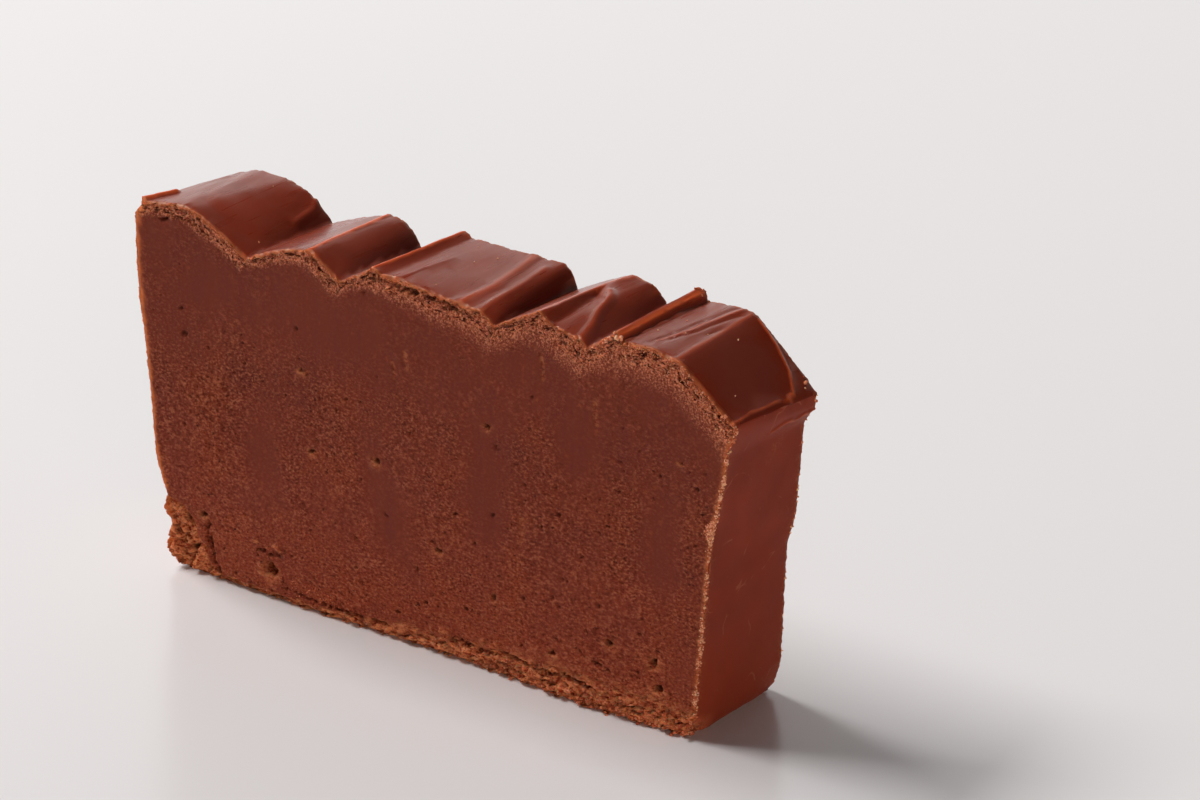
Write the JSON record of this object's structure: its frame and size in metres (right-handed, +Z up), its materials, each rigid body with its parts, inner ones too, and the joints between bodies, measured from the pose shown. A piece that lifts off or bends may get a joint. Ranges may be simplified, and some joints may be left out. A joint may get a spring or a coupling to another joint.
{
  "type": "chocolate fudge slice",
  "caption": "Thick rectangular slice of chocolate fudge with a wavy paddle-ridged top, a steep slope at one upper corner and crumbly cut edges, standing on its narrow underside.",
  "frame": {"origin": "middle of the flat underside that the slice stands on", "axes": "+X along the slice's length towards the end with the steep upper slope, +Y through its thickness from the front cut to the back cut, +Z up towards the ridged top"},
  "size_m": [0.1294, 0.0242, 0.0701],
  "materials": {
    "chocolate_fudge": "milk-chocolate fudge: satin skin on the worked top and ends, dull and sandy-grained on the two cuts, paler and crumbly along the cut edges"
  },
  "bodies": {
    "root": {"fudge_slice": "chocolate_fudge"}
  },
  "joints": []
}
